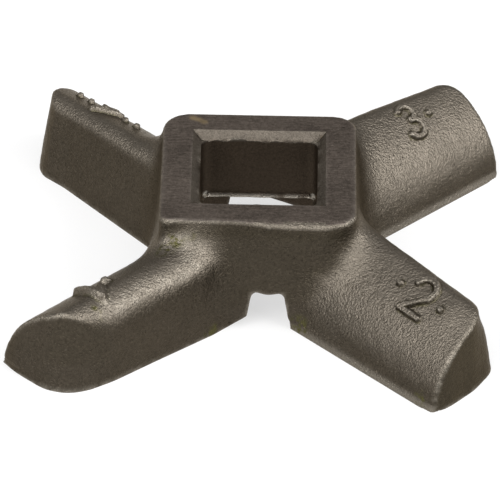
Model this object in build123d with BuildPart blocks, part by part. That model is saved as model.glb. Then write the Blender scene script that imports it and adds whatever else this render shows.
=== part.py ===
from build123d import *
from math import cos, hypot, radians, sin, sqrt, tan
import os

# Meat grinder knife: one casting with four blades round a hub with a square drive hole.
# The blades' ground faces lie in the XY plane, the hole's axis is Z and the hub is on top.
# Millimetres. Blade stations are measured outwards from the axis, along each blade.

# Drive hole
drive_square = 12.7
drive_corner_radius = 1.2
lead_in_width = 0.88
lead_in_depth = 0.78
exit_chamfer = 0.22

# Hub
hub_wall = 4.15
hub_top_height = 13.05
hub_corner_radius = 2.6
hub_wall_draft = 6.0
hub_skirt_height = 0.8
hub_top_edge_radius = 0.45
hub_blend_radius = 2.8

# Blades
blade_count = 4
first_blade_angle = -48.0
tip_radius = 32.7
tip_draft = 8.3
lead_corner_radius = 5.0
tip_edge_radius = 0.55
station_overrun = 3.3
ridge_drop_axis = 1.6
ridge_fall = 0.075
shoulder_radius = 1.6
shoulder_mid_angle = 35.0
ridge_tilt = 20.0
steep_edge_axis = 6.98
steep_edge_taper = 0.03
broad_edge_axis = 5.48
broad_edge_taper = 0.045
land_height = 0.4
land_round = 0.18
end_form_inner = -6.0
end_form_side = -14.0

# Recess under the hub and the openings between the blades' feet
recess_margin = 0.8
recess_depth = 5.05
recess_round = 0.4
opening_height = 4.45
opening_foot_width = 5.05
opening_top_width = 3.4
opening_offset = 1.2
opening_corner_radius = 0.8

# Slanted relief ground into the inner end of one foot
relief_reach = 14.36
relief_run = 1.495
relief_skew = 0.54
relief_start = -1.0
relief_side = 4.6

os.makedirs("parts", exist_ok=True)

draft_run = tan(radians(tip_draft))
station_span = tip_radius + station_overrun
ridge_height_axis = hub_top_height - ridge_drop_axis
hub_top_width = drive_square + 2.0 * hub_wall
hub_foot_growth = 2.0 * (hub_top_height - hub_skirt_height) * tan(radians(hub_wall_draft))
hub_foot_width = hub_top_width + hub_foot_growth
hole_corner_reach = (drive_square / 2.0 - drive_corner_radius) * sqrt(2.0) + drive_corner_radius
recess_radius = hole_corner_reach + recess_margin


def blade_section(station):
    """Face of the blade's cross-section at a station, in a plane square to the blade."""
    steep_foot = steep_edge_axis - steep_edge_taper * station
    broad_foot = -broad_edge_axis + broad_edge_taper * station
    ridge_height = ridge_height_axis - ridge_fall * station
    draft = radians(tip_draft)
    tilt = radians(ridge_tilt)
    shoulder_z = ridge_height - shoulder_radius
    shoulder_v = steep_foot - shoulder_z * draft_run - shoulder_radius / cos(draft)
    ridge_v = shoulder_v - shoulder_radius * sin(tilt)
    ridge_z = shoulder_z + shoulder_radius * cos(tilt)
    shoulder_mid_v = shoulder_v + shoulder_radius * sin(radians(shoulder_mid_angle))
    shoulder_mid_z = shoulder_z + shoulder_radius * cos(radians(shoulder_mid_angle))
    flank_v = shoulder_v + shoulder_radius * cos(draft)
    flank_z = shoulder_z + shoulder_radius * sin(draft)
    foot_v = broad_foot + land_round
    foot_z = land_height + land_round
    reach_v = ridge_v - foot_v
    reach_z = ridge_z - foot_z
    rise = reach_z * cos(tilt) - reach_v * sin(tilt)
    flank_radius = (reach_v ** 2 + reach_z ** 2) / (2.0 * rise)
    section_plane = Plane(origin=(station, 0, 0), x_dir=(0, 1, 0), z_dir=(1, 0, 0))
    with BuildSketch(section_plane) as section:
        with BuildLine():
            Line((broad_foot, 0), (broad_foot, land_height))
            RadiusArc((broad_foot, land_height), (foot_v, foot_z), land_round)
            RadiusArc((foot_v, foot_z), (ridge_v, ridge_z), flank_radius)
            ThreePointArc((ridge_v, ridge_z), (shoulder_mid_v, shoulder_mid_z), (flank_v, flank_z))
            Line((flank_v, flank_z), (steep_foot, 0))
            Line((steep_foot, 0), (broad_foot, 0))
        make_face()
    return section.sketch


# Blade: its section changes evenly from the axis to beyond the tip
with BuildPart() as blade_bar:
    add(blade_section(0.0))
    add(blade_section(station_span))
    loft()

# Outline of the blade's end: tip arc about the axis, rounded leading corner, drafted all round
side_clearance = 0.04
side_norm = hypot(1.0, steep_edge_taper)
side_offset = (steep_edge_axis + side_clearance) / side_norm - lead_corner_radius
along = sqrt((tip_radius - lead_corner_radius) ** 2 - side_offset ** 2)
corner_u = (steep_edge_taper * side_offset + along) / side_norm
corner_v = (side_offset - steep_edge_taper * along) / side_norm
corner_reach = tip_radius / (tip_radius - lead_corner_radius)
tip_join = (corner_u * corner_reach, corner_v * corner_reach)
side_join = (
    corner_u + lead_corner_radius * steep_edge_taper / side_norm,
    corner_v + lead_corner_radius / side_norm,
)
side_inner = (end_form_inner, side_join[1] + steep_edge_taper * (side_join[0] - end_form_inner))
tip_start = (sqrt(tip_radius ** 2 - end_form_side ** 2), end_form_side)
tip_middle_v = (end_form_side + tip_join[1]) / 2.0
tip_middle = (sqrt(tip_radius ** 2 - tip_middle_v ** 2), tip_middle_v)
corner_middle = (
    corner_u + lead_corner_radius / sqrt(2.0),
    corner_v + lead_corner_radius / sqrt(2.0),
)
with BuildPart() as end_form:
    with BuildSketch():
        with BuildLine():
            Line((end_form_inner, end_form_side), tip_start)
            ThreePointArc(tip_start, tip_middle, tip_join)
            ThreePointArc(tip_join, corner_middle, side_join)
            Line(side_join, side_inner)
            Line(side_inner, (end_form_inner, end_form_side))
        make_face()
    extrude(amount=ridge_height_axis, taper=tip_draft)

# Blade cut to its end form, with the corner between its flank and its end rounded over
with BuildPart() as blade:
    add(blade_bar.part)
    add(end_form.part, mode=Mode.INTERSECT)
    outer_edges = edges().filter_by(lambda edge: min((edge @ 0).X, (edge @ 1).X) > tip_radius / 2.0)
    tip_arris = outer_edges.filter_by(lambda edge: min((edge @ 0).Z, (edge @ 1).Z) > land_height + 0.01)
    fillet(tip_arris, radius=tip_edge_radius)

# Round recess under the hub
with BuildPart() as recess:
    with BuildSketch():
        Circle(recess_radius)
    extrude(amount=recess_depth)
    fillet(faces().sort_by(Axis.Z)[-1].edges(), radius=recess_round)

# Arched opening between the inner ends of two neighbouring feet, made along X
with BuildPart() as opening:
    with BuildSketch(Plane.YZ.offset(recess_radius / 2.0)):
        with BuildLine():
            Line((opening_offset - opening_foot_width / 2.0, 0), (opening_offset + opening_foot_width / 2.0, 0))
            Line(
                (opening_offset + opening_foot_width / 2.0, 0),
                (opening_offset + opening_top_width / 2.0, opening_height),
            )
            Line(
                (opening_offset + opening_top_width / 2.0, opening_height),
                (opening_offset - opening_top_width / 2.0, opening_height),
            )
            Line(
                (opening_offset - opening_top_width / 2.0, opening_height),
                (opening_offset - opening_foot_width / 2.0, 0),
            )
        make_face()
        fillet(vertices().group_by(Axis.Y)[-1], radius=opening_corner_radius)
    extrude(amount=hub_foot_width / 2.0)

# Square drive hole with a sloped lead-in at the top and a broken edge at the bottom
lead_in_overrun = 0.5
lead_in_rise = lead_in_depth + lead_in_overrun
lead_in_growth = 2.0 * lead_in_rise * lead_in_width / lead_in_depth
exit_rise = exit_chamfer + lead_in_overrun
with BuildPart() as drive_hole:
    with BuildSketch():
        RectangleRounded(drive_square, drive_square, drive_corner_radius)
    extrude(amount=hub_top_height)
    with BuildSketch(Plane.XY.offset(hub_top_height - lead_in_depth)):
        Rectangle(drive_square, drive_square)
    with BuildSketch(Plane.XY.offset(hub_top_height + lead_in_overrun)):
        Rectangle(drive_square + lead_in_growth, drive_square + lead_in_growth)
    loft()
    with BuildSketch(Plane.XY.offset(recess_depth - lead_in_overrun)):
        exit_width = drive_square + 2.0 * exit_rise
        RectangleRounded(exit_width, exit_width, drive_corner_radius + exit_rise)
    extrude(amount=exit_rise, taper=45.0)

# Slanted relief at the inner end of one foot, cut from the recess side
with BuildPart() as relief:
    for station_x in (relief_start, relief_side):
        low_y = relief_reach - relief_skew * station_x
        high_y = low_y - relief_run * recess_depth
        with BuildSketch(Plane(origin=(station_x, 0, 0), x_dir=(0, 1, 0), z_dir=(1, 0, 0))):
            with BuildLine():
                Polyline((recess_radius / 2.0, 0), (low_y, 0), (high_y, recess_depth), close=True)
            make_face()
    loft()

# The casting: hub block and blades blended into one, then opened up
with BuildPart() as knife:
    with BuildSketch(Plane.XY.offset(hub_skirt_height)):
        RectangleRounded(hub_foot_width, hub_foot_width, hub_corner_radius + hub_foot_growth / 2.0)
    extrude(amount=hub_top_height - hub_skirt_height, taper=hub_wall_draft)
    with PolarLocations(0, blade_count, start_angle=first_blade_angle):
        add(blade.part)
    hub_join = edges(Select.NEW).filter_by(lambda edge: (edge @ 0.5).Z > hub_skirt_height + 0.1)
    fillet(hub_join, radius=hub_blend_radius)
    fillet(faces().sort_by(Axis.Z)[-1].edges(), radius=hub_top_edge_radius)
    add(recess.part, mode=Mode.SUBTRACT)
    with PolarLocations(0, blade_count):
        add(opening.part, mode=Mode.SUBTRACT)
    add(drive_hole.part, mode=Mode.SUBTRACT)
    add(relief.part, mode=Mode.SUBTRACT)

knife.part.label = "knife"
export_step(knife.part, "parts/knife.step")
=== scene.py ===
"""Looks of a cast steel meat grinder knife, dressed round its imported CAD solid.

The CAD node is one casting: four blades round a hub with a square drive hole.
Here it gets a fine mesh of its own with a cast skin, soft crotches, raised index
marks and small foundry faults, and finishes for the cast, ground and bored faces.

Sizes in the classes below are millimetres in the part's own frame, unless a field
says otherwise. Blender's own scene is in metres.
"""
import logging
import math
from dataclasses import dataclass, field
from enum import Enum

import bmesh
import bpy
import numpy as np
from mathutils import Matrix, Vector


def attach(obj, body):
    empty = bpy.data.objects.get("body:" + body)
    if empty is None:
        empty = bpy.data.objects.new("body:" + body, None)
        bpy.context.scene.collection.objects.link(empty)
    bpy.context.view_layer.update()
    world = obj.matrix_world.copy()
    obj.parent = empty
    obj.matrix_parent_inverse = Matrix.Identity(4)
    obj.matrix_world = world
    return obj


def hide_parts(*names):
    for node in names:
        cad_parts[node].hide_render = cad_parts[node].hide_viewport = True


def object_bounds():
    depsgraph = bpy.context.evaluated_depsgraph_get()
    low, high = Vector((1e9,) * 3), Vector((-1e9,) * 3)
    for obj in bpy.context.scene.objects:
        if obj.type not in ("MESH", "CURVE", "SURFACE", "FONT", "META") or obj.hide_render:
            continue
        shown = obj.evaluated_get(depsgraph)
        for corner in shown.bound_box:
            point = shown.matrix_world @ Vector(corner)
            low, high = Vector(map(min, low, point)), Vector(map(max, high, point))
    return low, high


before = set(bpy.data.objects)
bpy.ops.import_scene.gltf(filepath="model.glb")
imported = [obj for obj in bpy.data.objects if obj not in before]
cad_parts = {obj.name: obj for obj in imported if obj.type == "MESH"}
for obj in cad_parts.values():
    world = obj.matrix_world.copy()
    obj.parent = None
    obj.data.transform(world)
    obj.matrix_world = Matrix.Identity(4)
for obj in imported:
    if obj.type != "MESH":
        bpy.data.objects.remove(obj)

CAD_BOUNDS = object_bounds()
MM = 0.001
TINY = 1e-6
FAR = 1e9

# Direction of the front right blade in degrees, and half the width of the strip
# along a blade that holds its own points only
FRONT_RIGHT_ANGLE = -48.0
BLADE_REACH = 9.0

# Numbers that scramble the grid cells of the noise
HASH_AXES = np.array((73856093, 19349663, 83492791))
HASH_SEED = 2654435761
HASH_ROUNDS = ((15, 2246822519), (13, 3266489917))
HASH_WORD = 0xFFFFFFFF

log = logging.getLogger("grinder_knife")

Array = np.ndarray
Socket = bpy.types.NodeSocket
Colour = tuple[float, float, float]
Point = tuple[float, float, float]
Box = tuple[Point, Point]
Ramp = tuple[float, float]
Window = tuple[float, float, float, float]
Layer = tuple[float, float, int]
Spot = tuple[Point, float]


def smooth_step(low: float, high: float, value: Array) -> Array:
    """Ramp from 0 to 1 with level ends.

    Args:
        low: Value where the ramp starts. It may be above high, for a falling ramp.
        high: Value where the ramp ends.
        value: Values to map.

    Returns:
        The ramp's value for each entry.
    """
    t = np.clip((value - low) / (high - low), 0.0, 1.0)
    return t * t * (3.0 - 2.0 * t)


def window(value: Array, start: float, full: float, fade: float, end: float) -> Array:
    """Share that rises from start to full and falls again from fade to end.

    Args:
        value: Values to map.
        start: Value up to which the share is 0.
        full: Value from which the share is 1.
        fade: Value up to which the share stays 1.
        end: Value from which the share is 0 again.

    Returns:
        The share for each entry.
    """
    return smooth_step(start, full, value) * (1.0 - smooth_step(fade, end, value))


def within(points: Array, low: Point, high: Point) -> Array:
    """Which points lie inside the box between two corners."""
    return np.all((points > low) & (points < high), axis=1)


def lump_noise(points: Array, size: float, seed: int) -> Array:
    """Smooth seeded noise over points in space.

    Args:
        points: Points, one row each.
        size: Distance over which the noise changes.
        seed: Number that picks the pattern.

    Returns:
        One value from -1 to 1 for each point.
    """
    scaled = points / size + 0.37 * seed
    cell = np.floor(scaled).astype(np.int64)
    part = scaled - cell
    ease = part * part * (3.0 - 2.0 * part)
    total = np.zeros(len(points))
    for corner in range(8):
        step = np.array([corner & 1, corner >> 1 & 1, corner >> 2 & 1])
        mixed = np.bitwise_xor.reduce((cell + step) * HASH_AXES, axis=1)
        mixed = (mixed ^ seed * HASH_SEED) & HASH_WORD
        for shift, factor in HASH_ROUNDS:
            mixed = (mixed ^ mixed >> shift) * factor & HASH_WORD
        level = (mixed ^ mixed >> 16) / HASH_WORD * 2.0 - 1.0
        total += np.prod(np.where(step, ease, 1.0 - ease), axis=1) * level
    return total


def layered_noise(points: Array, layers: tuple[Layer, ...]) -> Array:
    """Sum of noise layers, each given by its depth, its size and its seed."""
    return sum(depth * lump_noise(points, size, seed) for depth, size, seed in layers)


def read_rows(source: bpy.types.bpy_prop_collection, name: str, width: int, kind: type = np.float32) -> Array:
    """Read one property of many mesh elements.

    Args:
        source: Vertices, edges, faces or normals of a mesh.
        name: Name of the property.
        width: How many numbers each element has.
        kind: Type of the numbers.

    Returns:
        One row for each element.
    """
    rows = np.zeros(len(source) * width, kind)
    source.foreach_get(name, rows)
    return rows.reshape(-1, width)


class Blade(Enum):
    """The four blades, counter-clockwise seen from above, with their index numbers."""

    FRONT_LEFT = 1
    FRONT_RIGHT = 2
    BACK_RIGHT = 3
    BACK_LEFT = 4

    @property
    def angle(self) -> float:
        """Direction of the blade from the axis, in radians."""
        return math.radians(FRONT_RIGHT_ANGLE + 90.0 * (self.value - 2))

    @property
    def outward(self) -> Array:
        """Unit vector outwards along the blade."""
        return np.array([math.cos(self.angle), math.sin(self.angle), 0.0])

    @property
    def leading(self) -> Array:
        """Unit vector across the blade, towards its steep leading flank."""
        return np.array([-math.sin(self.angle), math.cos(self.angle), 0.0])

    def stations(self, points: Array) -> tuple[Array, Array]:
        """Place of each point, or share of each vector, along the blade and across it."""
        return points @ self.outward, points @ self.leading


class Face(Enum):
    """Material slots of the visible mesh."""

    CAST = 0
    GROUND = 1
    BORE = 2


@dataclass
class SkinMesh:
    """The visible mesh as arrays, in millimetres.

    Args:
        piece: Blender object that holds the mesh.
    """

    piece: bpy.types.Object
    points: Array = field(init=False)
    normals: Array = field(init=False)
    edges: Array = field(init=False)
    degree: Array = field(init=False)

    def __post_init__(self) -> None:
        """Read the arrays from the mesh."""
        mesh = self.piece.data
        self.points = read_rows(mesh.vertices, "co", 3).astype(float) / MM
        self.edges = read_rows(mesh.edges, "vertices", 2, np.int32)
        self.degree = np.maximum(self.edge_sums(np.ones(len(self.edges)), np.ones(len(self.edges))), 1.0)
        self.read_normals()

    def read_normals(self) -> None:
        """Read the vertex normals again after the points were written."""
        self.normals = read_rows(self.piece.data.vertex_normals, "vector", 3).astype(float)

    def write(self) -> None:
        """Write the points back to the mesh and read its normals again."""
        mesh = self.piece.data
        mesh.vertices.foreach_set("co", (self.points * MM).astype(np.float32).ravel())
        mesh.update()
        self.read_normals()

    def edge_sums(self, at_first: Array, at_second: Array) -> Array:
        """Sum at each vertex what its edges bring it.

        Args:
            at_first: What each edge brings its first vertex.
            at_second: What each edge brings its second vertex.

        Returns:
            One sum for each vertex.
        """
        count = len(self.points)
        total = np.bincount(self.edges[:, 0], weights=at_first, minlength=count)
        return total + np.bincount(self.edges[:, 1], weights=at_second, minlength=count)

    def neighbour_mean(self, values: Array) -> Array:
        """Mean of each vertex's neighbours.

        Args:
            values: One value or one row for each vertex.

        Returns:
            The means, in the shape of values.
        """
        first, second = self.edges.T
        columns = values.reshape(len(self.points), -1).T
        means = [self.edge_sums(column[second], column[first]) / self.degree for column in columns]
        return np.stack(means, axis=1).reshape(values.shape)

    def spacing(self) -> Array:
        """Mean length of the edges at each vertex, never quite nothing."""
        length = np.linalg.norm(self.points[self.edges[:, 0]] - self.points[self.edges[:, 1]], axis=1)
        return np.maximum(self.edge_sums(length, length) / self.degree, 0.03)

    def smoothed(self, values: Array, rounds: int) -> Array:
        """Values blurred over the surface.

        Args:
            values: One value for each vertex.
            rounds: How many times each value moves halfway to its neighbours' mean.

        Returns:
            The blurred values.
        """
        for _ in range(rounds):
            values = 0.5 * (values + self.neighbour_mean(values))
        return values

    def store(self, name: str, values: Array) -> None:
        """Keep a value per vertex as an attribute that materials read."""
        attribute = self.piece.data.attributes.new(name, "FLOAT", "POINT")
        attribute.data.foreach_set("value", values.astype(np.float32))


Stroke = tuple[tuple[float, float], ...]


@dataclass(frozen=True)
class Glyph:
    """Raised index numeral or pip, as strokes in a box one unit high.

    Args:
        strokes: Open lines, each a tuple of points.
        width: Room that the sign takes along the line of writing.
    """

    strokes: tuple[Stroke, ...]
    width: float

    @staticmethod
    def arc(x: float, y: float, r: float, start: float, end: float) -> Stroke:
        """Points along a circular stroke.

        Args:
            x: Centre along the writing.
            y: Centre up the sign.
            r: Radius.
            start: First angle in degrees.
            end: Last angle in degrees.

        Returns:
            The points of the stroke.
        """
        angles = [math.radians(start + (end - start) * i / 8.0) for i in range(9)]
        return tuple((x + r * math.cos(a), y + r * math.sin(a)) for a in angles)

    def distance(self, x: Array, y: Array) -> Array:
        """Distance from points to the nearest stroke.

        Args:
            x: Places along the writing, from the sign's left side.
            y: Places up the sign.

        Returns:
            One distance for each point.
        """
        best = np.full(x.shape, FAR)
        for stroke in self.strokes:
            for (x0, y0), (x1, y1) in zip(stroke, stroke[1:]):
                dx, dy = x1 - x0, y1 - y0
                t = ((x - x0) * dx + (y - y0) * dy) / max(dx * dx + dy * dy, 1e-9)
                t = np.clip(t, 0.0, 1.0)
                best = np.minimum(best, np.hypot(x - x0 - t * dx, y - y0 - t * dy))
        return best


PIP = Glyph((((0.14, 0.5), (0.16, 0.5)),), 0.3)
NUMERALS = {
    Blade.FRONT_LEFT: Glyph((((0.05, 0.74), (0.3, 0.98), (0.3, 0.02)),), 0.42),
    Blade.FRONT_RIGHT: Glyph(
        (Glyph.arc(0.36, 0.68, 0.3, 165.0, -30.0) + ((0.08, 0.02), (0.7, 0.02)),), 0.76
    ),
    Blade.BACK_RIGHT: Glyph(
        (Glyph.arc(0.32, 0.75, 0.23, 150.0, -90.0), Glyph.arc(0.32, 0.27, 0.26, 90.0, -150.0)), 0.66
    ),
    Blade.BACK_LEFT: Glyph((((0.54, 0.0), (0.54, 0.98), (0.04, 0.32), (0.76, 0.32)),), 0.8),
}


@dataclass(frozen=True)
class IndexMark:
    """Raised mark cast into one blade's broad flank.

    Args:
        blade: Blade that carries it, whose number it shows.
        station: Distance of the mark's middle from the axis, along the blade.
        across: Place of the mark's middle across the blade.
        height: Height of the numeral.
        relief: How far the strokes stand proud.
        pips_before: Pips on the hub side of the numeral.
        pips_after: Pips on the tip side of the numeral.
        fade: Width of the slope beside a stroke.
        stroke: Half the width of a stroke's flat top.
        gap: Room between two signs, as a share of the height.
        half_length: How far from its middle the mark may reach along the blade.
        half_width: How far from its middle it may reach across the blade.
        lowest: Height under which nothing belongs to the mark.
        ragged: Depth, size and seed of the strokes' uneven edge.
    """

    blade: Blade
    station: float
    across: float
    height: float
    relief: float
    pips_before: int
    pips_after: int
    fade: float = 0.34
    stroke: float = 0.16
    gap: float = 0.16
    half_length: float = 9.0
    half_width: float = 5.0
    lowest: float = 3.0
    ragged: Layer = (0.05, 0.6, 31)

    def line(self) -> list[tuple[Glyph, float]]:
        """Lay out the mark's signs.

        Returns:
            The signs, each with the place of its left side from the mark's middle.
        """
        signs = [PIP] * self.pips_before + [NUMERALS[self.blade]] + [PIP] * self.pips_after
        total = sum(s.width for s in signs) + self.gap * (len(signs) - 1)
        placed, start = [], -total / 2.0
        for sign in signs:
            placed.append((sign, start))
            start += sign.width + self.gap
        return placed

    def distance(self, skin: SkinMesh) -> Array:
        """Distance of each vertex from the middle line of the mark's strokes.

        Args:
            skin: Mesh that the mark stands on.

        Returns:
            The distances, large away from the mark.
        """
        u, v = self.blade.stations(skin.points)
        near = (np.abs(u - self.station) < self.half_length) & (np.abs(v - self.across) < self.half_width)
        near &= skin.points[:, 2] > self.lowest
        spot = near & (np.hypot(u - self.station, v - self.across) < 1.0)
        centre = skin.points[spot].mean(axis=0)
        normal = skin.normals[spot].mean(axis=0)
        normal /= np.linalg.norm(normal)
        out = self.blade.outward
        along = out - normal * (out @ normal)
        along /= np.linalg.norm(along)
        up = np.cross(normal, along)
        near &= (skin.normals @ normal > 0.45) & (np.abs((skin.points - centre) @ normal) < 2.0)
        offset = skin.points[near] - centre
        x, y = offset @ along / self.height, offset @ up / self.height + 0.5
        best = np.full(x.shape, FAR)
        for sign, start in self.line():
            best = np.minimum(best, sign.distance(x - start, y))
        distance = np.full(len(u), FAR)
        distance[near] = best * self.height + layered_noise(skin.points[near], (self.ragged,))
        return distance

    def raised(self, distance: Array) -> Array:
        """Height that the mark adds at each vertex, from its distance to the strokes."""
        return self.relief * (1.0 - smooth_step(self.stroke, self.stroke + self.fade, distance))


@dataclass(frozen=True)
class TipForm:
    """How one blade's end departs from the even form that all four share.

    The fields up to droop say how far. The others say where each departure fades,
    along the blade, across it or up its end.

    Args:
        blade: Blade whose end it is.
        corner: How far the leading corner stands out across the blade, at the foot.
        middle: How far the middle of the end stands out along the blade.
        top: How far the upper part of the end stands out along the blade.
        trailing: How far the trailing half of the end stands out along the blade.
        droop: How far the ridge drops at its very end.
    """

    blade: Blade
    corner: float
    middle: float
    top: float
    trailing: float
    droop: float = 0.0
    inner_station: float = 20.0
    draft_run: float = 0.146
    setback: Ramp = (-3.0, -0.4)
    corner_across: Ramp = (2.5, 6.0)
    corner_along: Ramp = (25.0, 29.5)
    corner_height: Ramp = (3.5, 9.5)
    middle_across: Window = (-2.5, 2.0, 3.5, 6.0)
    top_height: float = 8.5
    trailing_across: Ramp = (-2.0, 1.5)
    trailing_height: Ramp = (0.2, 1.2)
    droop_along: Ramp = (28.2, 31.2)
    droop_height: Ramp = (5.0, 8.5)

    def shift(self, points: Array, tip_radius: float) -> Array:
        """Move that the form gives each point.

        Args:
            points: Points of the mesh, one row each.
            tip_radius: Radius of the blades' end at the foot.

        Returns:
            One move for each point, as rows.
        """
        u, v = self.blade.stations(points)
        height = points[:, 2]
        own = np.abs(v) < BLADE_REACH
        setback = np.hypot(u, v) - (tip_radius - self.draft_run * height)
        ending = np.where(u > self.inner_station, smooth_step(*self.setback, setback), 0.0)
        corner = smooth_step(*self.corner_across, v) * smooth_step(*self.corner_along, u)
        corner *= 1.0 - 0.9 * smooth_step(*self.corner_height, height)
        middle = ending * window(v, *self.middle_across)
        top = ending * np.clip(height / self.top_height, 0.0, 1.2) ** 1.2
        trailing = ending * (1.0 - smooth_step(*self.trailing_across, v))
        trailing *= smooth_step(*self.trailing_height, height)
        along = self.middle * middle + self.top * top + self.trailing * trailing
        across = self.corner * np.where(own, corner, 0.0)
        moves = along[:, None] * self.blade.outward + across[:, None] * self.blade.leading
        end = smooth_step(*self.droop_along, u) * smooth_step(*self.droop_height, height)
        moves[:, 2] -= self.droop * np.where(own, end, 0.0)
        return moves


STAINS: tuple[Spot, ...] = (
    ((-16.5, -21.5, 8.1), 0.9),
    ((-17.0, -21.3, 8.9), 0.6),
    ((-10.8, -17.0, 6.3), 0.6),
    ((-9.8, -12.0, 10.2), 1.5),
    ((-8.7, -11.3, 10.9), 1.3),
    ((-7.1, -10.7, 11.2), 0.9),
    ((4.8, -12.4, 0.9), 1.7),
    ((-4.8, -13.1, 0.6), 1.2),
    ((17.7, -25.1, 1.0), 1.2),
)
BARE_SPOTS: tuple[Spot, ...] = (
    ((-7.3, 9.5, 13.05), 0.6),
    ((-6.7, 9.2, 13.0), 0.6),
    ((-6.1, 8.8, 13.0), 0.6),
    ((10.4, -10.3, 12.7), 0.45),
    ((10.6, 8.8, 12.6), 0.7),
    ((-5.8, 6.0, 5.3), 0.5),
    ((5.9, 5.9, 5.3), 0.5),
)


@dataclass
class Casting:
    """The knife's one casting, with its fine mesh and surface detail.

    A Ramp gives the places where a change starts and is full, a Window those where it
    starts, is full, fades and ends, and a Box two opposite corners.
    """

    node: str = "knife"
    body: str = "root"
    slot: str = "cast_steel"

    hub_top: float = 13.05
    hub_half_top: float = 10.5
    hub_corner: float = 2.6
    hub_draft: float = 6.0
    drive_half: float = 6.35
    lead_in_depth: float = 0.78
    recess_radius: float = 9.28
    recess_depth: float = 5.05
    tip_radius: float = 32.7
    opening_offset: float = 1.2
    front_wall: float = 9.5

    cell_depth: int = 8
    cell_scale: float = 0.735
    mark_reaches: tuple[float, ...] = (1.1, 0.62)

    shoulder_swell: float = 1.12
    shoulder_height: float = 7.0
    ridge_height: float = 9.9
    ridge_fall: float = 0.075
    middle_station: float = 20.0
    shoulder_along: Window = (8.0, 13.5, 25.5, 30.5)
    shoulder_across: Ramp = (2.6, 4.4)
    # Painted highlight on the front left blade's shoulder: its strength, and where it lies by tilt, along the
    # blade and across it
    highlight_paint: float = 0.8
    highlight_tilt: Window = (0.4, 0.62, 0.86, 0.96)
    highlight_along: Window = (11.0, 14.0, 25.0, 28.0)
    highlight_across: Ramp = (0.5, 2.0)

    crotch_rounds: int = 260
    crotch_radii: Window = (9.4, 10.8, 16.5, 22.0)
    crotch_heights: Window = (0.3, 2.4, 11.4, 12.6)
    opening_side: Ramp = (2.3, 3.8)
    opening_top: Ramp = (4.6, 6.2)
    relief_box: Box = ((-5.0, 8.0, -1.0), (6.5, 40.0, 5.6))

    foot_rounds: int = 10
    foot_inner: float = 9.0
    foot_half: float = 7.0
    foot_band: Window = (0.12, 0.3, 0.9, 1.4)
    spur_radii: Ramp = (30.8, 31.8)
    spur_across: Ramp = (-2.4, -3.4)
    spur_heights: Ramp = (0.8, 1.8)
    land_heights: Ramp = (0.55, 0.9)

    corner_radii: tuple[tuple[int, int, float], ...] = (
        (-1, -1, 1.2), (1, -1, 1.9), (1, 1, 2.6), (-1, 1, 3.0),
    )
    corner_lowest: float = 9.0
    corner_heights: Ramp = (9.2, 12.2)
    corner_fade: Window = (0.3, 0.9, 1.05, 1.8)

    rim_bow: float = 0.5
    rim_drop: float = 0.28
    bow_along: Window = (-3.0, 3.5, 7.0, 10.4)
    nub_place: Point = (1.2, -10.75, 12.75)
    nub_radius: float = 0.42
    nub_relief: float = 0.24

    lip_heights: Window = (4.9, 5.1, 5.25, 5.6)
    lip_width: float = 0.32
    lip_ragged: float = 0.08
    lip_drop: float = 0.14
    rim_ragged: float = 0.3
    rim_band: float = 0.4

    foot_edge: float = 5.83
    foot_splay: float = 0.065
    trim_box: Box = ((-4.8, -40.0, -1.0), (-0.6, -8.8, 2.5))
    arch_box: Box = ((-40.0, -40.0, 3.4), (40.0, -8.0, 5.2))
    wave_layers: tuple[Layer, ...] = ((0.05, 6.0, 3), (0.022, 2.6, 5))
    skin_layers: tuple[Layer, ...] = ((0.012, 1.1, 11), (0.018, 0.6, 12))
    pit_seed: int = 8
    pit_count: int = 60
    pit_radii: tuple[float, float] = (0.16, 0.36)
    pit_slope: float = 0.16

    # Band of painted shade under the hub's front top edge, by height and along the hub
    shade_heights: Window = (10.4, 11.5, 12.1, 12.6)
    shade_along: Window = (-10.4, -8.6, 8.5, 10.5)

    marks: tuple[IndexMark, ...] = (
        IndexMark(Blade.FRONT_LEFT, 24.2, 1.7, 3.9, 0.7, 1, 0, 0.7),
        IndexMark(Blade.FRONT_RIGHT, 24.6, 1.35, 4.4, 0.5, 1, 1),
        IndexMark(Blade.BACK_RIGHT, 24.4, 1.1, 4.1, 0.42, 0, 1),
        IndexMark(Blade.BACK_LEFT, 23.9, 1.2, 4.0, 0.5, 2, 2),
    )
    tips: tuple[TipForm, ...] = (
        TipForm(Blade.FRONT_LEFT, -0.3, -0.25, 0.1, 0.42),
        TipForm(Blade.FRONT_RIGHT, 1.2, -0.4, 0.95, 0.1, 0.45),
        TipForm(Blade.BACK_RIGHT, 0.2, 0.0, 0.58, 0.1),
        TipForm(Blade.BACK_LEFT, 0.35, 0.0, 0.1, 0.1),
    )

    def build(self) -> bpy.types.Object:
        """Make the visible mesh.

        Returns:
            The piece, with its attributes and face groups, ready for its materials.
        """
        piece = self.even_mesh()
        for reach in self.mark_reaches:
            self.refine_marks(piece, reach)
        skin = SkinMesh(piece)
        for change in (
            self.widen_shoulder, self.soften_crotches, self.shape_hub_corners, self.bow_rim,
            self.shape_bore, self.soften_feet, self.shape_tips, self.shape_irregularities,
            self.raise_marks, self.roughen, self.keep_inside,
        ):
            change(skin)
            skin.write()
        self.store_wear(skin)
        self.store_shades(skin)
        self.store_spots(skin)
        self.group_faces(piece)
        return piece

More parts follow.
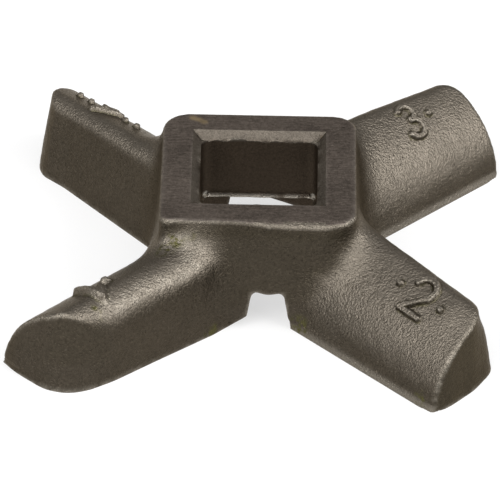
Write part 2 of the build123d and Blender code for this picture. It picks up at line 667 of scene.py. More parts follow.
    def even_mesh(self) -> bpy.types.Object:
        """Copy the CAD node with even small faces that keep its sharp edges.

        Returns:
            The new piece.
        """
        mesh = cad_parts[self.node].data.copy()
        shape = bmesh.new()
        shape.from_mesh(mesh)
        bmesh.ops.remove_doubles(shape, verts=shape.verts, dist=TINY)
        shape.to_mesh(mesh)
        shape.free()
        source = bpy.data.objects.new("knife_source", mesh)
        bpy.context.scene.collection.objects.link(source)
        cells = source.modifiers.new("cells", "REMESH")
        cells.mode = "SHARP"
        cells.octree_depth = self.cell_depth
        cells.scale = self.cell_scale
        cells.sharpness = 1.0
        cells.use_remove_disconnected = False
        depsgraph = bpy.context.evaluated_depsgraph_get()
        fine = bpy.data.meshes.new_from_object(source.evaluated_get(depsgraph))
        fine.materials.clear()
        bpy.data.objects.remove(source)
        piece = bpy.data.objects.new("knife_casting", fine)
        bpy.context.scene.collection.objects.link(piece)
        return piece

    def refine_marks(self, piece: bpy.types.Object, reach: float) -> None:
        """Split the faces near the index marks' strokes, so that the strokes come out clean.

        Args:
            piece: The visible piece.
            reach: How far from a stroke's middle line faces are split.
        """
        skin = SkinMesh(piece)
        near = np.zeros(len(skin.points), bool)
        for mark in self.marks:
            near |= mark.distance(skin) < reach
        shape = bmesh.new()
        shape.from_mesh(piece.data)
        shape.verts.ensure_lookup_table()
        faces = {face for i in np.flatnonzero(near) for face in shape.verts[i].link_faces}
        edges = {edge for face in faces for edge in face.edges}
        bmesh.ops.subdivide_edges(shape, edges=list(edges), cuts=1, use_grid_fill=True)
        shape.to_mesh(piece.data)
        shape.free()

    def widen_shoulder(self, skin: SkinMesh) -> None:
        """Swell the front left blade's steep flank into the broad soft shoulder that it alone has.

        Args:
            skin: Mesh to change.
        """
        lead = Blade.FRONT_LEFT.leading
        u, v = Blade.FRONT_LEFT.stations(skin.points)
        height = skin.points[:, 2] + self.ridge_fall * (u - self.middle_station)
        share = window(u, *self.shoulder_along) * smooth_step(*self.shoulder_across, v)
        share *= smooth_step(0.0, 0.35, skin.normals @ lead)
        rise = np.clip(height / self.shoulder_height, 0.0, 1.0)
        fall = (height - self.shoulder_height) / (self.ridge_height - self.shoulder_height)
        swell = self.shoulder_swell * rise * (1.0 - np.clip(fall, 0.0, 1.0) ** 2)
        skin.points += (swell * share)[:, None] * lead

    def soften_crotches(self, skin: SkinMesh) -> None:
        """Fill the corners between hub and blades more softly than their machined blend.

        Args:
            skin: Mesh to change.
        """
        x, y, height = skin.points.T
        weight = window(np.hypot(x, y), *self.crotch_radii) * window(height, *self.crotch_heights)
        weight *= skin.normals[:, 2] > -0.25
        for turn in range(4):
            angle = math.radians(90.0 * turn)
            ahead = x * math.cos(angle) + y * math.sin(angle)
            aside = y * math.cos(angle) - x * math.sin(angle) - self.opening_offset
            beside = 1.0 - smooth_step(*self.opening_side, np.abs(aside))
            weight *= 1.0 - beside * (1.0 - smooth_step(*self.opening_top, height)) * (ahead > 8.0)
        weight *= ~within(skin.points, *self.relief_box)
        for _ in range(self.crotch_rounds):
            move = skin.neighbour_mean(skin.points) - skin.points
            outward = np.sum(move * skin.normals, axis=1)
            share = np.where(outward > 0.0, 0.6, 0.06) * weight
            skin.points += share[:, None] * move

    def soften_feet(self, skin: SkinMesh) -> None:
        """Blend the land into the broad flank and take the sharp spur off its outer end.

        Args:
            skin: Mesh to change.
        """
        height = skin.points[:, 2]
        weight = np.zeros(len(height))
        for blade in Blade:
            u, v = blade.stations(skin.points)
            own = (u > self.foot_inner) & (v < 0.0) & (v > -self.foot_half)
            facing = smooth_step(0.2, 0.5, -(skin.normals @ blade.leading))
            share = 0.6 * window(height, *self.foot_band) * facing
            if blade is not Blade.FRONT_LEFT:
                spur = smooth_step(*self.spur_radii, np.hypot(u, v)) * smooth_step(*self.spur_across, v)
                share = np.maximum(share, spur * (1.0 - smooth_step(*self.spur_heights, height)))
            weight = np.maximum(weight, np.where(own, share, 0.0))
        for _ in range(self.foot_rounds):
            move = skin.neighbour_mean(skin.points) - skin.points
            move[height < 0.02, 2] = 0.0
            skin.points += (0.5 * weight)[:, None] * move

    def shape_tips(self, skin: SkinMesh) -> None:
        """Give each blade's end its own uneven form."""
        skin.points += sum(tip.shift(skin.points, self.tip_radius) for tip in self.tips)

    def shape_hub_corners(self, skin: SkinMesh) -> None:
        """Give the hub's upright corners the uneven radii of the real casting.

        Args:
            skin: Mesh to change.
        """
        height = skin.points[:, 2]
        growth = (self.hub_top - height) * math.tan(math.radians(self.hub_draft))
        half, base = self.hub_half_top + growth, self.hub_corner + growth
        share = smooth_step(*self.corner_heights, height)
        for side_x, side_y, wanted in self.corner_radii:
            cx = skin.points[:, 0] * side_x - (half - base)
            cy = skin.points[:, 1] * side_y - (half - base)
            reach = np.maximum(np.hypot(cx, cy), TINY)
            inside = (cx > 0) & (cy > 0) & (reach > 0.3 * base) & (height > self.corner_lowest)
            goal = base - self.hub_corner + wanted
            shift = base - goal
            slant = (cx + cy) / reach
            root = np.maximum((shift * slant) ** 2 - 2.0 * shift * shift + goal * goal, 0.0)
            arc = shift * slant + np.sqrt(root)
            straight = base / np.maximum(np.maximum(cx, cy) / reach, TINY)
            edge = np.where(np.minimum(cx, cy) / reach * straight < shift, straight, arc)
            change = (edge / base - 1.0) * share * window(reach / base, *self.corner_fade)
            skin.points[inside, 0] += (side_x * cx * change)[inside]
            skin.points[inside, 1] += (side_y * cy * change)[inside]

    def bow_rim(self, skin: SkinMesh) -> None:
        """Bow the hub's front top edge out and down, with the small nub that stands on it.

        Args:
            skin: Mesh to change.
        """
        x, y, height = skin.points.T
        bow = window(x, *self.bow_along)
        out = self.rim_bow * bow * smooth_step(7.6, 10.3, -y) * smooth_step(7.0, 11.0, height)
        down = self.rim_drop * bow * smooth_step(9.5, 10.6, -y) * smooth_step(11.0, 12.8, height)
        gap = np.linalg.norm(skin.points - np.array(self.nub_place), axis=1)
        nub = self.nub_relief * np.exp(-((gap / self.nub_radius) ** 2))
        skin.points[:, 1] -= out + 0.8 * nub
        skin.points[:, 2] -= down - 0.4 * nub

    def shape_bore(self, skin: SkinMesh) -> None:
        """Make the drive hole's lower lip and the edge under its lead-in ragged.

        Args:
            skin: Mesh to change.
        """
        x, y, height = skin.points.T
        square = np.maximum(np.abs(x), np.abs(y))
        wall = (square > self.drive_half - 0.1) & (square < self.drive_half + 0.45)
        ragged = lump_noise(skin.points, 0.9, 41)
        lip = wall * window(height, *self.lip_heights)
        rim = np.clip(1.0 - np.abs(height - self.hub_top + self.lead_in_depth) / self.rim_band, 0.0, 1.0)
        inward = lip * (self.lip_width + self.lip_ragged * ragged)
        rise = self.rim_ragged * ragged * wall * rim - self.lip_drop * lip
        for axis in (0, 1):
            side = np.abs(skin.points[:, axis]) >= square - TINY
            skin.points[:, axis] -= np.where(side, np.sign(skin.points[:, axis]) * inward, 0.0)
        skin.points[:, 2] += rise

    def shape_irregularities(self, skin: SkinMesh) -> None:
        """Add the casting's own unevenness: a wavy front opening, a trimmed foot and a gentle wave.

        Args:
            skin: Mesh to change.
        """
        u, v = Blade.FRONT_LEFT.stations(skin.points)
        x, height = skin.points[:, 0], skin.points[:, 2]
        proud = np.clip(v - (self.foot_edge + self.foot_splay * u + height), 0.0, 2.6)
        proud *= within(skin.points, *self.trim_box)
        skin.points -= proud[:, None] * Blade.FRONT_LEFT.leading
        front = within(skin.points, *self.arch_box) & (skin.normals[:, 2] < 0.2)
        dip = np.exp(-((x - 1.3) / 0.9) ** 2) - 0.5 * np.exp(-((x + 0.1) / 0.6) ** 2)
        skin.points[front, 2] -= 0.22 * dip[front]
        wave = layered_noise(skin.points, self.wave_layers) * self.cast_share(skin)
        skin.points += wave[:, None] * skin.normals

    def cast_share(self, skin: SkinMesh) -> Array:
        """How far each vertex belongs to the cast skin and not to a ground or bored face.

        Args:
            skin: Mesh to read.

        Returns:
            1 on cast skin, 0 on machined faces, with soft borders.
        """
        x, y, height = skin.points.T
        share = 1.0 - smooth_step(self.hub_top - 0.45, self.hub_top - 0.15, height)
        share *= smooth_step(0.05, 0.7, height)
        square = np.maximum(np.abs(x), np.abs(y))
        share *= smooth_step(self.drive_half + 0.9, self.drive_half + 1.6, square)
        hollow = (np.hypot(x, y) < self.recess_radius + 0.15) & (height < self.recess_depth + 0.1)
        return np.where(hollow, 0.25, share)

    def raise_marks(self, skin: SkinMesh) -> None:
        """Raise the index marks from the flanks."""
        added = sum(mark.raised(mark.distance(skin)) for mark in self.marks)
        skin.points += added[:, None] * skin.normals

    def roughen(self, skin: SkinMesh) -> None:
        """Press the cast skin's lumps and a few pits into the mesh.

        Args:
            skin: Mesh to change.
        """
        cast = self.cast_share(skin)
        lumps = layered_noise(skin.points, self.skin_layers)
        draw = np.random.default_rng(self.pit_seed)
        pits = np.zeros(len(skin.points))
        candidates = np.flatnonzero((cast > 0.95) & (skin.points[:, 2] > 1.0))
        for spot in draw.choice(candidates, self.pit_count, replace=False):
            size = draw.uniform(*self.pit_radii)
            offset = skin.points - skin.points[spot]
            near = np.abs(offset).max(axis=1) < 2.0 * size
            gap = np.linalg.norm(offset[near], axis=1)
            pits[near] = np.maximum(pits[near], self.pit_slope * size * np.exp(-2.0 * (gap / size) ** 2))
        skin.points += ((lumps - pits) * cast)[:, None] * skin.normals

    def keep_inside(self, skin: SkinMesh) -> None:
        """Hold every vertex inside the CAD model's box."""
        low, high = (np.array(corner) / MM for corner in CAD_BOUNDS)
        skin.points = np.clip(skin.points, low, high)

    def store_wear(self, skin: SkinMesh) -> None:
        """Store how far each vertex is worn or painted with a highlight, how hollow it is, and whether it is
        on a ground land.

        Args:
            skin: Finished mesh.
        """
        y, height = skin.points[:, 1], skin.points[:, 2]
        bend = -np.sum((skin.neighbour_mean(skin.points) - skin.points) * skin.normals, axis=1)
        bend = skin.smoothed(bend, 2) * (0.25 / skin.spacing()) ** 2
        rim = smooth_step(12.0, 12.4, height) * (y < -self.front_wall)
        rim *= smooth_step(-0.8, 0.5, lump_noise(skin.points, 2.2, 47))
        worn = smooth_step(0.008, 0.045, bend) * (1.0 - 0.7 * rim)
        # The edge attribute holds the edge wear and, on the front left blade's shoulder, a painted highlight
        skin.store("edge", np.maximum(worn, self.shoulder_highlight(skin)))
        # Hollows are darkened in the finishes as painted shade, and gather a share of oil film
        skin.store("hollow", smooth_step(0.004, 0.03, -bend))
        land = np.zeros(len(height))
        foot = 1.0 - smooth_step(*self.land_heights, height)
        for blade in Blade:
            u, v = blade.stations(skin.points)
            own = (u > 8.0) & (u < 33.0) & (np.abs(v) < BLADE_REACH) & (skin.normals @ blade.leading < -0.3)
            land = np.maximum(land, np.where(own, foot, 0.0))
        skin.store("land", skin.smoothed(land, 2))

    def shoulder_highlight(self, skin: SkinMesh) -> Array:
        """How far each vertex lies on the front left blade's shoulder, where a painted highlight makes it
        paler.

        Args:
            skin: Finished mesh.

        Returns:
            The share of painted highlight at each vertex.
        """
        u, v = Blade.FRONT_LEFT.stations(skin.points)
        tilt = window(skin.smoothed(skin.normals[:, 2], 4), *self.highlight_tilt)
        share = tilt * smooth_step(*self.highlight_across, v) * window(u, *self.highlight_along)
        return self.highlight_paint * np.where(np.abs(v) < BLADE_REACH, share, 0.0)

    def store_shades(self, skin: SkinMesh) -> None:
        """Store the darker faces: painted shade on steep ones, under the hub's front rim and on its front
        face, the front right blade's darker end, and the coarser grit of the leading flanks.

        Args:
            skin: Finished mesh.
        """
        x, y, height = skin.points.T
        scale, grit = np.zeros(len(x)), np.zeros(len(x))
        for blade in Blade:
            u, v = blade.stations(skin.points)
            face_out, face_lead = blade.stations(skin.normals)
            own = (u > 8.0) & (np.abs(v) < BLADE_REACH)
            ending = smooth_step(0.35, 0.75, face_out) * smooth_step(26.0, 28.5, u)
            # The front right blade's outward end face is darkened through the scale attribute
            if blade is Blade.FRONT_RIGHT:
                scale = np.where(own, ending, 0.0)
            steep = smooth_step(0.45, 0.8, face_lead) * (1.0 - ending)
            grit = np.maximum(grit, np.where(own & (v > 0), steep, 0.0))
        # Painted shade: a broken band under the hub's front top edge
        shade = window(height, *self.shade_heights) * window(x, *self.shade_along) * (y < -self.front_wall)
        scale = np.maximum(scale, shade * smooth_step(-0.9, 0.3, lump_noise(skin.points, 1.6, 45)))
        # Painted shade: the hub's front face, at half strength
        front = smooth_step(0.75, 0.95, -skin.normals[:, 1]) * (y < -self.front_wall) * (height > 3.0)
        scale = np.maximum(scale, 0.5 * front)
        # Painted shade: steep and low faces, which take the darker steep colour
        skin.store("steep", 1.0 - smooth_step(0.2, 0.6, skin.smoothed(skin.normals[:, 2], 4)))
        # The scale attribute carries only painted shade and the front right blade's darker end face
        skin.store("scale", skin.smoothed(scale, 3))
        skin.store("grit", skin.smoothed(grit, 3))

    def store_spots(self, skin: SkinMesh) -> None:
        """Store the oil stains and the spots of bare metal.

        Args:
            skin: Finished mesh.
        """
        x, y, height = skin.points.T
        square = np.maximum(np.abs(x), np.abs(y))
        lip = (square < self.drive_half + 0.3) & (height > 4.98) & (height < 5.2) & (y > 5.6)
        lip = np.where(lip, smooth_step(-0.35, 0.1, lump_noise(skin.points, 1.2, 43)), 0.0)
        skin.store("stain", self.spots(skin, STAINS))
        skin.store("bare", np.maximum(0.4 * lip, self.spots(skin, BARE_SPOTS)))

    def spots(self, skin: SkinMesh, places: tuple[Spot, ...]) -> Array:
        """Mark soft round spots on the surface.

        Args:
            skin: Mesh to read.
            places: Middle and radius of each spot.

        Returns:
            1 inside the spots and 0 away from them, for each vertex.
        """
        level = np.zeros(len(skin.points))
        for place, size in places:
            gap = np.linalg.norm(skin.points - np.array(place), axis=1)
            level = np.maximum(level, 1.0 - smooth_step(0.35 * size, size, gap))
        return level

    def group_faces(self, piece: bpy.types.Object) -> None:
        """Give each face its material slot and set which edges shade sharp.

        Args:
            piece: The visible piece.
        """
        mesh = piece.data
        x, y, height = read_rows(mesh.polygons, "center", 3).T / MM
        up = read_rows(mesh.polygons, "normal", 3)[:, 2]
        square = np.maximum(np.abs(x), np.abs(y))
        groups = np.full(len(x), Face.CAST.value, np.int32)
        groups[(height > self.hub_top - 0.12) & (up > 0.8)] = Face.GROUND.value
        groups[(height < 0.02) & (up < -0.8)] = Face.GROUND.value
        bored = (square < self.drive_half + 0.85) & (height > self.recess_depth - 0.3) & (up < 0.95)
        recess = (height < self.recess_depth + 0.05) & (height > 0.03)
        groups[bored | recess & (np.hypot(x, y) < self.recess_radius + 0.12)] = Face.BORE.value
        mesh.polygons.foreach_set("material_index", groups)
        mesh.polygons.foreach_set("use_smooth", np.ones(len(x), bool))
        mesh.set_sharp_from_angle(angle=math.radians(38.0))


@dataclass
class NodeGraph:
    """Small helper that places and joins shader nodes.

    Args:
        tree: Node tree to fill.
    """

    tree: bpy.types.NodeTree

    def add(self, kind: str, values: dict | None = None, **settings) -> bpy.types.Node:
        """Place a node.

        Args:
            kind: Blender's name of the node type, without its ShaderNode prefix.
            values: Input name or number with a constant, or with the socket that feeds it.
            settings: Properties of the node.

        Returns:
            The node.
        """
        node = self.tree.nodes.new(kind if kind.startswith("Node") else "ShaderNode" + kind)
        for name, value in settings.items():
            setattr(node, name, value)
        self.feed(node, values or {})
        return node

    def feed(self, node: bpy.types.Node, values: dict) -> None:
        """Set or join a node's inputs.

        Args:
            node: The node.
            values: Input name or number with a constant, or with the socket that feeds it.
        """
        for name, value in values.items():
            if isinstance(value, Socket):
                self.tree.links.new(value, node.inputs[name])
            else:
                node.inputs[name].default_value = value

    def math(self, operation: str, *values: float | Socket, clamp: bool = False) -> Socket:
        """Place a math node.

        Args:
            operation: Blender's name of the operation.
            values: Constants or sockets, in order.
            clamp: Whether the result is held between 0 and 1.

        Returns:
            The result's socket.
        """
        node = self.add("Math", dict(enumerate(values)), operation=operation, use_clamp=clamp)
        return node.outputs[0]

    def ramp(self, value: Socket, low: float, high: float) -> Socket:
        """Map a value smoothly to 0 at low and 1 at high, and return the socket."""
        ends = {"Value": value, "From Min": low, "From Max": high}
        return self.add("MapRange", ends, interpolation_type="SMOOTHSTEP").outputs["Result"]

    def vary(self, base: float | Socket, value: Socket, amount: float) -> Socket:
        """Add to a base how far a value is from a half, times an amount, and return the socket."""
        return self.math("MULTIPLY_ADD", self.math("SUBTRACT", value, 0.5), amount, base)

    def mix(self, share: float | Socket, a: object, b: object, blend: str = "MIX") -> Socket:
        """Mix two colours.

        Args:
            share: How much of b shows.
            a: First colour or socket.
            b: Second colour or socket.
            blend: Blender's name of the mixing mode.

        Returns:
            The mixed colour's socket.
        """
        node = self.add("Mix", {0: share, 6: a, 7: b}, data_type="RGBA", blend_type=blend)
        return node.outputs[2]

    def dimmed(self, colour: Socket, level: Socket) -> Socket:
        """Multiply a colour by a grey level, and return the socket."""
        shade = self.add("CombineColor", {i: level for i in range(3)}).outputs[0]
        return self.mix(1.0, colour, shade, "MULTIPLY")

    def noise(self, place: Socket, size: float | Socket, detail: float = 2.0) -> Socket:
        """Noise whose lumps have the given size in millimetres.

        Args:
            place: Socket with the place in millimetres.
            size: Size of the lumps, a number or a socket.
            detail: How many finer layers are added.

        Returns:
            The noise value's socket.
        """
        scale = self.math("DIVIDE", 1.0, size) if isinstance(size, Socket) else 1.0 / size
        node = self.add("TexNoise", {"Vector": place, "Scale": scale, "Detail": detail})
        return node.outputs["Factor" if "Factor" in node.outputs else "Fac"]

    def place(self) -> Socket:
        """Place on the object in millimetres, as a socket."""
        inputs = {0: self.add("TexCoord").outputs["Object"], "Scale": 1.0 / MM}
        return self.add("VectorMath", inputs, operation="SCALE").outputs["Vector"]

    def attribute(self, name: str) -> Socket:
        """Value of a mesh attribute, as a socket."""
        return self.add("Attribute", attribute_name=name).outputs["Fac"]


class Effect(Enum):
    """Effects that the finishes share."""

    CAST_GRAIN = "cast_grain"
    EDGE_WEAR = "edge_wear"
    OIL_STAIN = "oil_stain"
    MOTTLING = "mottling"


@dataclass
class EffectLibrary:
    """Shader node groups, each built once and placed in every finish that needs it."""

    groups: dict[Effect, bpy.types.NodeTree] = field(default_factory=dict)

    def start(
        self, effect: Effect, inputs: dict[str, float], outputs: tuple[str, ...]
    ) -> tuple[NodeGraph, dict[str, Socket], bpy.types.Node]:
        """Begin a group with its sockets.

        Args:
            effect: Which effect the group makes.
            inputs: Names and resting values of its inputs.
            outputs: Names of its outputs.

        Returns:
            The graph to fill, the input sockets by name, and the output node.
        """
        tree = bpy.data.node_groups.new(effect.value, "ShaderNodeTree")
        for name, value in inputs.items():
            socket = tree.interface.new_socket(name, in_out="INPUT", socket_type="NodeSocketFloat")
            socket.default_value = value
        for name in outputs:
            tree.interface.new_socket(name, in_out="OUTPUT", socket_type="NodeSocketFloat")
        graph = NodeGraph(tree)
        entry = graph.add("NodeGroupInput")
        leave = graph.add("NodeGroupOutput")
        self.groups[effect] = tree
        return graph, {name: entry.outputs[name] for name in inputs}, leave

    def build(self) -> "EffectLibrary":
        """Build all the groups and return the library."""
        for make in (self.cast_grain, self.edge_wear, self.oil_stain, self.mottling):
            make()
        return self

    def cast_grain(self) -> None:
        """Build the grain of a sand-cast skin: lumps, fine grit and small pits."""
        graph, given, leave = self.start(
            Effect.CAST_GRAIN,
            {"Lump Size": 0.45, "Lump Depth": 0.02, "Grit Size": 0.16, "Grit Depth": 0.008,
             "Pit Size": 0.36, "Pit Depth": 0.05, "Pit Threshold": 0.7},
            ("Height", "Grit", "Lumps", "Pits"),
        )
        place = graph.place()
        lumps = graph.noise(place, given["Lump Size"], 2.0)
        grit = graph.noise(place, given["Grit Size"], 1.0)
        pits = graph.noise(place, given["Pit Size"], 1.0)
        pits = graph.ramp(graph.math("SUBTRACT", pits, given["Pit Threshold"]), 0.0, 0.08)
        height = graph.math("MULTIPLY", lumps, given["Lump Depth"])
        height = graph.math("MULTIPLY_ADD", grit, given["Grit Depth"], height)
        height = graph.math("SUBTRACT", height, graph.math("MULTIPLY", pits, given["Pit Depth"]))
        graph.feed(leave, {"Height": height, "Grit": grit, "Lumps": lumps, "Pits": pits})

    def edge_wear(self) -> None:
        """Build the worn metal along edges, broken up by noise, and the painted highlight that comes in with
        the same edge input.
        """
        graph, given, leave = self.start(
            Effect.EDGE_WEAR, {"Edge": 0.0, "Amount": 0.6, "Breakup": 1.3}, ("Wear",)
        )
        broken = graph.ramp(graph.noise(graph.place(), given["Breakup"], 3.0), 0.35, 0.65)
        level = graph.math("MULTIPLY", given["Edge"], graph.math("MULTIPLY_ADD", broken, 0.7, 0.3))
        graph.feed(leave, {"Wear": graph.math("MULTIPLY", level, given["Amount"], clamp=True)})

    def oil_stain(self) -> None:
        """Build the patchy olive film that dried oil leaves."""
        graph, given, leave = self.start(
            Effect.OIL_STAIN, {"Stain": 0.0, "Hollow": 0.0, "Patch Size": 0.8}, ("Film",)
        )
        patch = graph.ramp(graph.noise(graph.place(), given["Patch Size"], 3.0), 0.42, 0.6)
        film = graph.math("MAXIMUM", given["Stain"], graph.math("MULTIPLY", given["Hollow"], 0.35))
        graph.feed(leave, {"Film": graph.math("MULTIPLY", film, patch, clamp=True)})

    def mottling(self) -> None:
        """Build the broad light and dark drift of an oiled cast skin."""
        graph, given, leave = self.start(
            Effect.MOTTLING, {"Patch Size": 5.0, "Contrast": 0.3}, ("Level",)
        )
        drift = graph.noise(graph.place(), given["Patch Size"], 3.0)
        graph.feed(leave, {"Level": graph.vary(1.0, drift, given["Contrast"])})


def opaque(colour: Colour) -> tuple[float, float, float, float]:
    """Colour with full alpha."""
    return (*colour, 1.0)


@dataclass(frozen=True)
class SteelFinish:
    """One finish of the steel casting.

    Args:
        name: Name of the material.
        body: Colour of open faces.
        steep: Colour of steep and low faces, a painted shade.
        speck_and_shade: Colour of specks and pits, of painted shade in hollows and on the hub's front, and of
            the front right blade's darker end.
        rubbed_and_highlight: Colour of worn edges and ground lands, and of the painted highlight on the front
            left blade's shoulder.
        film: Colour of dried oil.
        bare: Colour of bare metal.
        roughness: Roughness before the grain varies it.
        wear_and_highlight: How far edges are worn, and how strong the painted highlight is.
        mottle: Contrast of the broad drift in colour.
        grit_dark: How dark the specks are.
        speckle: Contrast of the fine colour grain on open faces.
        speckle_steep: Contrast of the fine colour grain on steep faces.
        streaks: Contrast of the grinding scratches, 0 for none.

    The other fields give the sizes and depths of the grain, the pits and the
    scratches, how metallic the surface is, how dark the painted shade of the
    scale mask is and the tint of its highlights.
    """

    name: str
    body: Colour
    steep: Colour
    speck_and_shade: Colour
    rubbed_and_highlight: Colour
    film: Colour
    bare: Colour
    roughness: float
    lump_size: float
    lump_depth: float
    grit_depth: float
    pit_depth: float
    wear_and_highlight: float
    mottle: float
    grit_dark: float
    speckle: float
    speckle_steep: float
    streaks: float = 0.0
    scratch_length: float = 1.1
    scratch_width: float = 0.2
    scratch_depth: float = 0.01
    grit_size: float = 0.15
    metallic: float = 0.85
    painted_shade_dark: float = 0.72
    tint: Colour = (0.62, 0.56, 0.48)

    def material(self, effects: EffectLibrary) -> bpy.types.Material:
        """Build the finish's material.

        Args:
            effects: The shared node groups.

        Returns:
            The material.
        """
        material = bpy.data.materials.new(self.name)
        material.use_nodes = True
        material.node_tree.nodes.clear()
        graph = NodeGraph(material.node_tree)
        names = ("edge", "hollow", "land", "steep", "scale", "grit", "stain", "bare")
        mask = {name: graph.attribute(name) for name in names}

        def placed(effect: Effect, values: dict[str, object]) -> bpy.types.Node:
            """Place a shared group with this finish's values."""
            return graph.add("Group", values, node_tree=effects.groups[effect])

        grain = placed(Effect.CAST_GRAIN, {
            "Lump Size": self.lump_size, "Lump Depth": self.lump_depth, "Grit Size": self.grit_size,
            "Grit Depth": self.grit_depth, "Pit Depth": self.pit_depth,
        }).outputs
        # The edge mask brings edge wear and the painted highlight on the front left blade's shoulder
        wear_and_highlight = placed(Effect.EDGE_WEAR, {"Edge": mask["edge"], "Amount": self.wear_and_highlight}).outputs["Wear"]
        film = placed(Effect.OIL_STAIN, {"Stain": mask["stain"], "Hollow": mask["hollow"]}).outputs["Film"]
        drift = placed(Effect.MOTTLING, {"Contrast": self.mottle}).outputs["Level"]
        share = graph.math("MULTIPLY_ADD", mask["grit"], self.grit_dark, self.grit_dark)
        dark = graph.math("MULTIPLY", graph.ramp(grain["Grit"], 0.6, 0.3), share)
        # Specks and pits are grain; the hollow and scale masks add painted shade, and the front right blade's
        # darker end
        for level, amount in ((grain["Pits"], 0.5), (mask["hollow"], 0.5), (mask["scale"], self.painted_shade_dark)):
            dark = graph.math("MAXIMUM", dark, graph.math("MULTIPLY", level, amount), clamp=True)
        # Painted shade: steep and low faces take the darker steep colour
        colour = graph.mix(mask["steep"], opaque(self.body), opaque(self.steep))
        colour = graph.mix(dark, colour, opaque(self.speck_and_shade))
        fleck = graph.math("ADD", grain["Lumps"], graph.math("MULTIPLY", grain["Grit"], 0.6))
        fleck = graph.math("SUBTRACT", fleck, 0.8)
        share = graph.math("MULTIPLY_ADD", mask["steep"], self.speckle_steep - self.speckle, self.speckle)
        colour = graph.dimmed(colour, graph.math("MULTIPLY_ADD", fleck, share, drift))
        # Worn edges and ground lands, and the painted highlight on the front left blade's shoulder
        rub_and_highlight = graph.math("MAXIMUM", wear_and_highlight, graph.math("MULTIPLY", mask["land"], 0.5))
        for cover, tone in ((rub_and_highlight, self.rubbed_and_highlight), (film, self.film), (mask["bare"], self.bare)):
            colour = graph.mix(cover, colour, opaque(tone))
        rough = graph.vary(self.roughness, grain["Grit"], 0.25)
        rough = graph.math("MULTIPLY_ADD", rub_and_highlight, -0.08, rough)
        height = grain["Height"]
        if self.streaks > 0.0:
            stretch = (1.0 / self.scratch_length, 1.0 / self.scratch_width, 1.0 / self.scratch_width)
            scratches = graph.add("VectorMath", {0: graph.place(), 1: stretch}, operation="MULTIPLY")
            fine = graph.noise(scratches.outputs["Vector"], 1.0, 3.0)
            height = graph.math("MULTIPLY_ADD", fine, self.scratch_depth, height)
            rough = graph.vary(rough, fine, 0.3)
            colour = graph.dimmed(colour, graph.vary(1.0, fine, self.streaks))
        bump = graph.add("Bump", {"Strength": 1.0, "Distance": MM, "Height": height})
        surface = graph.add("BsdfPrincipled", {
            "Base Color": colour, "Metallic": self.metallic, "Roughness": rough, "Normal": bump.outputs[0],
            "Specular IOR Level": 0.3, "Specular Tint": opaque(self.tint),
        })
        graph.add("OutputMaterial", {"Surface": surface.outputs[0]})
        return material


# The steep colours are painted shade on steep and low faces; the darkest colours also paint shade in hollows
# and on the hub's front, and the worn colours also paint the shoulder highlight
FINISHES = {
    Face.CAST: SteelFinish(
        "cast_skin", body=(0.154, 0.134, 0.109), steep=(0.056, 0.0465, 0.0348), speck_and_shade=(0.04, 0.033, 0.022),
        rubbed_and_highlight=(0.29, 0.262, 0.220), film=(0.075, 0.07, 0.028), bare=(0.55, 0.5, 0.42), roughness=0.33,
        lump_size=0.30, lump_depth=0.11, grit_depth=0.046, pit_depth=0.06,
        wear_and_highlight=0.5, mottle=0.4, grit_dark=0.14, speckle=0.3, speckle_steep=0.9,
    ),
    Face.GROUND: SteelFinish(
        "ground_steel", body=(0.138, 0.114, 0.097), steep=(0.062, 0.0505, 0.040), speck_and_shade=(0.07, 0.057, 0.046),
        rubbed_and_highlight=(0.34, 0.30, 0.26), film=(0.12, 0.085, 0.05), bare=(0.30, 0.23, 0.14), roughness=0.42,
        lump_size=0.35, lump_depth=0.022, grit_depth=0.018, pit_depth=0.04,
        wear_and_highlight=0.9, mottle=0.9, grit_dark=0.15, speckle=1.1, speckle_steep=1.1, streaks=1.0,
    ),
    Face.BORE: SteelFinish(
        "bored_steel", body=(0.124, 0.107, 0.088), steep=(0.06, 0.045, 0.032), speck_and_shade=(0.03, 0.023, 0.016),
        rubbed_and_highlight=(0.26, 0.232, 0.195), film=(0.10, 0.075, 0.045), bare=(0.62, 0.58, 0.51), roughness=0.44,
        lump_size=0.3, lump_depth=0.04, grit_depth=0.02, pit_depth=0.03,
        wear_and_highlight=0.5, mottle=0.4, grit_dark=0.12, speckle=0.7, speckle_steep=0.6,
    ),
}


@dataclass(frozen=True)
class PhotoCamera:
    """Camera at the photograph's viewing angle. Lengths are metres, angles degrees."""

    elevation: float = 34.3298
    yaw: float = -0.3195
    roll: float = 0.9111
    distance: float = 0.63786
    shift_right: float = -0.8221e-3
    shift_up: float = 1.8433e-3
    pixels_per_mm: float = 9.1684
    frame_pixels: float = 500.0
    sensor: float = 36.0

    def build(self) -> bpy.types.Object:
        """Make the camera and set it as the scene's own.

        Returns:
            The camera object.
        """
        elevation, yaw, roll = (math.radians(a) for a in (self.elevation, self.yaw, self.roll))
        right = Vector((math.cos(yaw), -math.sin(yaw), 0.0))
        ahead = Vector((math.sin(yaw), math.cos(yaw), 0.0))
        up = ahead * math.sin(elevation) + Vector((0.0, 0.0, math.cos(elevation)))
        view = ahead * math.cos(elevation) - Vector((0.0, 0.0, math.sin(elevation)))
        side = right * math.cos(roll) + up * math.sin(roll)
        top = up * math.cos(roll) - right * math.sin(roll)
        place = right * self.shift_right + up * self.shift_up - view * self.distance
        lens = bpy.data.cameras.new("photo_camera")
        lens.sensor_width = self.sensor
        lens.lens = self.pixels_per_mm * self.distance / MM / self.frame_pixels * self.sensor
        camera = bpy.data.objects.new("photo_camera", lens)
        bpy.context.scene.collection.objects.link(camera)
        camera.matrix_world = Matrix((
            (side.x, top.x, -view.x, place.x),
            (side.y, top.y, -view.y, place.y),
            (side.z, top.z, -view.z, place.z),
            (0.0, 0.0, 0.0, 1.0),
        ))
        bpy.context.scene.camera = camera
        return camera


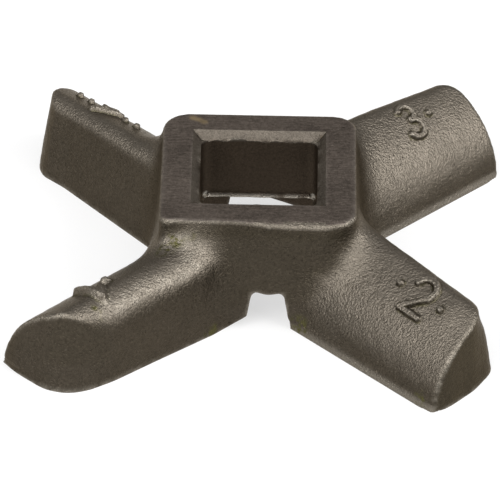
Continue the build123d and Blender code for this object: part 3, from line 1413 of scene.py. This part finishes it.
@dataclass(frozen=True)
class Softbox:
    """One soft lamp, aimed at the part. Lengths are metres, angles degrees.

    Args:
        name: Name of the lamp.
        azimuth: Direction from the part, 0 behind it and 90 to its right.
        elevation: Height above the floor, as an angle.
        width: Width of the lamp.
        height: Height of the lamp.
        radiance: Brightness of its face, where 1 is white.
        distance: Distance from the part.
    """

    name: str
    azimuth: float
    elevation: float
    width: float
    height: float
    radiance: float
    distance: float = 1.6

    def build(self) -> bpy.types.Object:
        """Make the lamp.

        Returns:
            The lamp object.
        """
        azimuth, elevation = math.radians(self.azimuth), math.radians(self.elevation)
        across = math.cos(elevation)
        toward = Vector((math.sin(azimuth) * across, math.cos(azimuth) * across, math.sin(elevation)))
        light = bpy.data.lights.new(self.name, "AREA")
        light.shape = "RECTANGLE"
        light.size, light.size_y = self.width, self.height
        light.energy = self.radiance * math.pi * self.width * self.height
        lamp = bpy.data.objects.new(self.name, light)
        bpy.context.scene.collection.objects.link(lamp)
        lamp.location = toward * self.distance
        lamp.rotation_euler = toward.to_track_quat("Z", "Y").to_euler()
        lamp.visible_camera = False
        return lamp


@dataclass(frozen=True)
class Studio:
    """White floor, soft lamps and a plain surround. Lengths are metres."""

    floor_half: float = 4.0
    floor_drop: float = 0.00002
    floor_colour: Colour = (0.93, 0.93, 0.93)
    floor_lift: float = 0.6
    surround_low: float = 0.30
    surround_high: float = 1.0
    lamps: tuple[Softbox, ...] = (
        Softbox("left_softbox", -136.0, 35.0, 1.5, 1.0, 3.8),
        Softbox("right_softbox", 110.0, 32.0, 1.35, 1.1, 4.9),
        Softbox("top_softbox", 180.0, 70.0, 1.2, 0.8, 1.1),
    )

    def build(self) -> None:
        """Make the floor, the lamps and the world."""
        self.floor()
        for lamp in self.lamps:
            lamp.build()
        self.surround()
        bpy.context.scene.view_settings.view_transform = "Standard"

    def floor(self) -> bpy.types.Object:
        """Make the floor. It turns white in view, and keeps the part's soft shadow.

        Returns:
            The floor object.
        """
        half = self.floor_half
        corners = [(x * half, y * half, -self.floor_drop) for x, y in ((-1, -1), (1, -1), (1, 1), (-1, 1))]
        mesh = bpy.data.meshes.new("floor")
        mesh.from_pydata(corners, [], [(0, 1, 2, 3)])
        floor = bpy.data.objects.new("floor", mesh)
        bpy.context.scene.collection.objects.link(floor)
        material = bpy.data.materials.new("floor_paper")
        material.use_nodes = True
        material.node_tree.nodes.clear()
        graph = NodeGraph(material.node_tree)
        paper = graph.add("BsdfDiffuse", {"Color": opaque(self.floor_colour)})
        white = graph.add("Emission", {"Color": (1.0, 1.0, 1.0, 1.0), "Strength": 1.0})
        path = graph.add("LightPath")
        seen = graph.math("MAXIMUM", path.outputs["Is Camera Ray"], path.outputs["Is Glossy Ray"])
        seen = graph.math("MAXIMUM", seen, path.outputs["Is Transmission Ray"])
        share = graph.math("MULTIPLY", seen, self.floor_lift)
        both = graph.add("MixShader", {0: share, 1: paper.outputs[0], 2: white.outputs[0]})
        graph.add("OutputMaterial", {"Surface": both.outputs[0]})
        mesh.materials.append(material)
        return floor

    def surround(self) -> None:
        """Make the plain surround, darker behind the part and paler above and before it."""
        world = bpy.data.worlds.new("surround")
        bpy.context.scene.world = world
        world.use_nodes = True
        world.node_tree.nodes.clear()
        graph = NodeGraph(world.node_tree)
        direction = graph.add("TexCoord").outputs["Generated"]
        level = graph.add("VectorMath", {0: direction, 1: (0.0, -0.6, 0.8)}, operation="DOT_PRODUCT")
        share = graph.ramp(level.outputs["Value"], 0.1, 0.95)
        colour = graph.mix(share, opaque((self.surround_low,) * 3), opaque((self.surround_high,) * 3))
        sky = graph.add("Background", {"Color": colour, "Strength": 1.0})
        graph.add("OutputWorld", {"Surface": sky.outputs[0]})


@dataclass
class Knife:
    """The dressed part: its casting and the finishes on it."""

    casting: Casting = field(default_factory=Casting)
    effects: EffectLibrary = field(default_factory=EffectLibrary)

    def build(self) -> bpy.types.Object:
        """Build the casting, dress it and tie it to the CAD body.

        Returns:
            The visible piece.
        """
        piece = self.casting.build()
        self.effects.build()
        for face in Face:
            piece.data.materials.append(FINISHES[face].material(self.effects))
        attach(piece, self.casting.body)
        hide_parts(self.casting.node)
        return piece


def main() -> None:
    """Build the part and its studio."""
    logging.basicConfig(level=logging.INFO, format="%(name)s: %(message)s")
    piece = Knife().build()
    log.info("%s: %d faces", piece.name, len(piece.data.polygons))
    PhotoCamera().build()
    Studio().build()


if __name__ == "__main__":
    main()
